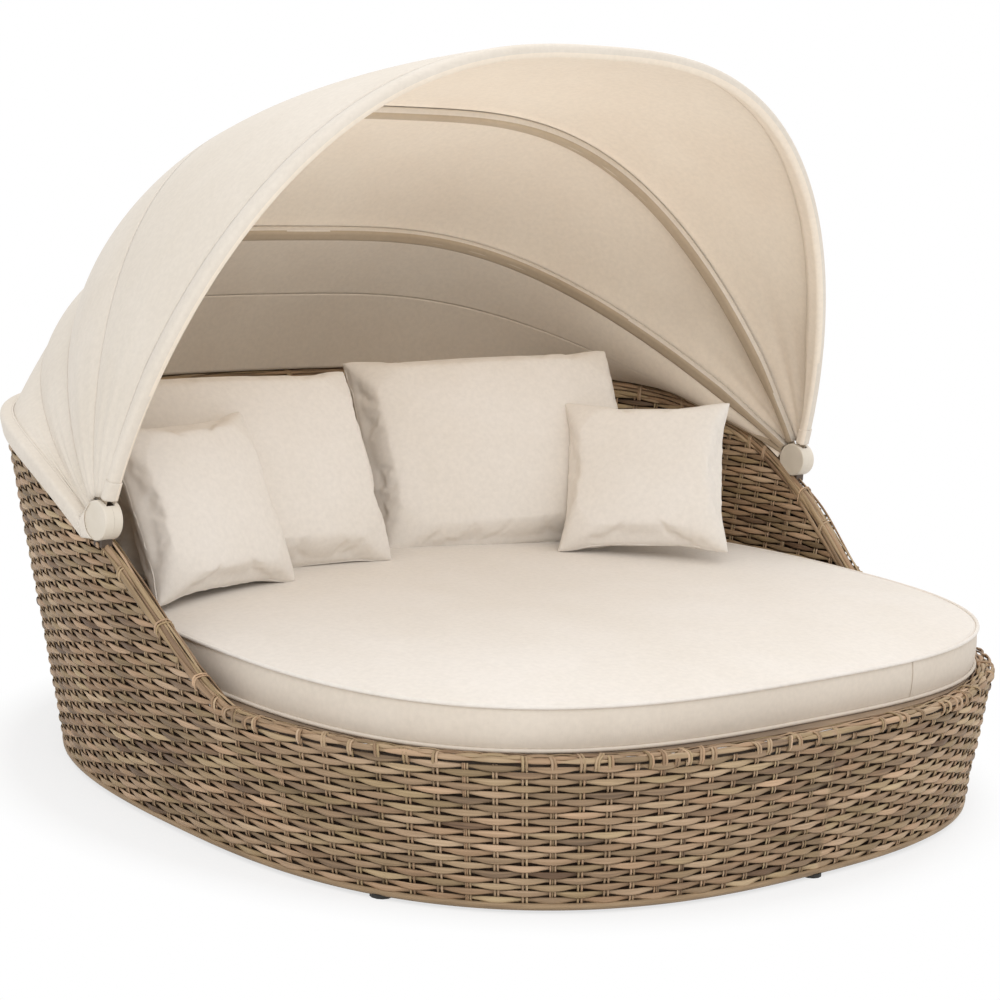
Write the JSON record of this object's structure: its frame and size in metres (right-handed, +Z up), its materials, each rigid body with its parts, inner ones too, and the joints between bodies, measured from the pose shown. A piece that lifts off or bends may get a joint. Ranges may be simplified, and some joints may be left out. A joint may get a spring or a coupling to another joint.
{
  "type": "outdoor daybed with canopy",
  "caption": "Round woven outdoor daybed with a thick seat cushion, loose pillows and a folding canopy of cloth on bows hinged at both sides.",
  "frame": {"origin": "on the floor under the middle of the outline", "axes": "+X to the right as seen from the open front, -Y towards the open front, +Z up"},
  "size_m": [2.067, 2.0368, 1.5894],
  "materials": {
    "wicker": "satin",
    "frame": "satin",
    "foot": "matte",
    "hub": "satin",
    "steel": "satin",
    "bow": "satin",
    "canopy": "matte",
    "cushion": "matte"
  },
  "bodies": {
    "base": {"floor_ring_left": "frame", "floor_ring_right": "frame", "seat_ring": "frame", "top_rail": "frame", "seat_beam": "frame", "seat_slat_1": "frame", "seat_slat_2": "frame", "seat_slat_3": "frame", "seat_slat_4": "frame", "seat_slat_5": "frame", "front_post_left": "frame", "front_post_right": "frame", "hub_post_left": "frame", "hub_post_right": "frame", "back_post_left": "frame", "back_post_right": "frame", "foot_1": "foot", "foot_2": "foot", "foot_3": "foot", "foot_4": "foot", "foot_5": "foot", "foot_6": "foot", "wicker_outer_skin": "wicker", "wicker_border": "wicker", "wicker_inner_skin": "wicker", "wicker_seat_deck": "wicker", "hub_clevis_left": "hub", "hub_cover_inner_left": "hub", "hub_cover_outer_left": "hub", "hub_clevis_right": "hub", "hub_cover_inner_right": "hub", "hub_cover_outer_right": "hub", "hub_bolt_left": "steel", "hub_nut_left": "steel", "hub_bolt_right": "steel", "hub_nut_right": "steel", "hub_washer_left_1": "foot", "hub_washer_left_2": "foot", "hub_washer_left_3": "foot", "hub_washer_right_1": "foot", "hub_washer_right_2": "foot", "hub_washer_right_3": "foot", "canopy_rear_hem": "canopy", "seat_cushion": "cushion", "back_pillow_left": "cushion", "back_pillow_right": "cushion", "throw_pillow_left": "cushion", "throw_pillow_right": "cushion"},
    "rear_arch": {"rear_bow": "bow", "rear_bow_sleeve": "canopy", "canopy_panel_rear": "canopy"},
    "third_arch": {"third_bow": "bow", "third_bow_sleeve": "canopy", "canopy_panel_back": "canopy"},
    "second_arch": {"second_bow": "bow", "second_bow_sleeve": "canopy", "canopy_panel_middle": "canopy"},
    "front_arch": {"front_bow": "bow", "canopy_front_hem": "canopy", "canopy_panel_front": "canopy"}
  },
  "joints": [
    {"name": "rear_bow_hinge", "type": "hinge", "parent": "base", "child": "rear_arch", "pos_m": [0, 0.0405, 0.6101], "axis": [-1, 0, 0], "range_deg": [0, 2.5], "deforming": ["canopy_panel_rear"]},
    {"name": "third_bow_hinge", "type": "hinge", "parent": "rear_arch", "child": "third_arch", "pos_m": [0, 0.0405, 0.6101], "axis": [-1, 0, 0], "range_deg": [0, 5.1], "deforming": ["canopy_panel_back"]},
    {"name": "second_bow_hinge", "type": "hinge", "parent": "third_arch", "child": "second_arch", "pos_m": [0, 0.0405, 0.6101], "axis": [-1, 0, 0], "range_deg": [0, 24], "deforming": ["canopy_panel_middle"]},
    {"name": "front_bow_hinge", "type": "hinge", "parent": "second_arch", "child": "front_arch", "pos_m": [0, 0.0405, 0.6101], "axis": [-1, 0, 0], "range_deg": [0, 32.3], "deforming": ["canopy_panel_front"]}
  ],
  "couplings": [
    {"joint": "second_bow_hinge", "follows": "front_bow_hinge", "ratio": 0.743},
    {"joint": "third_bow_hinge", "follows": "front_bow_hinge", "ratio": 0.1578},
    {"joint": "rear_bow_hinge", "follows": "front_bow_hinge", "ratio": 0.0774}
  ]
}
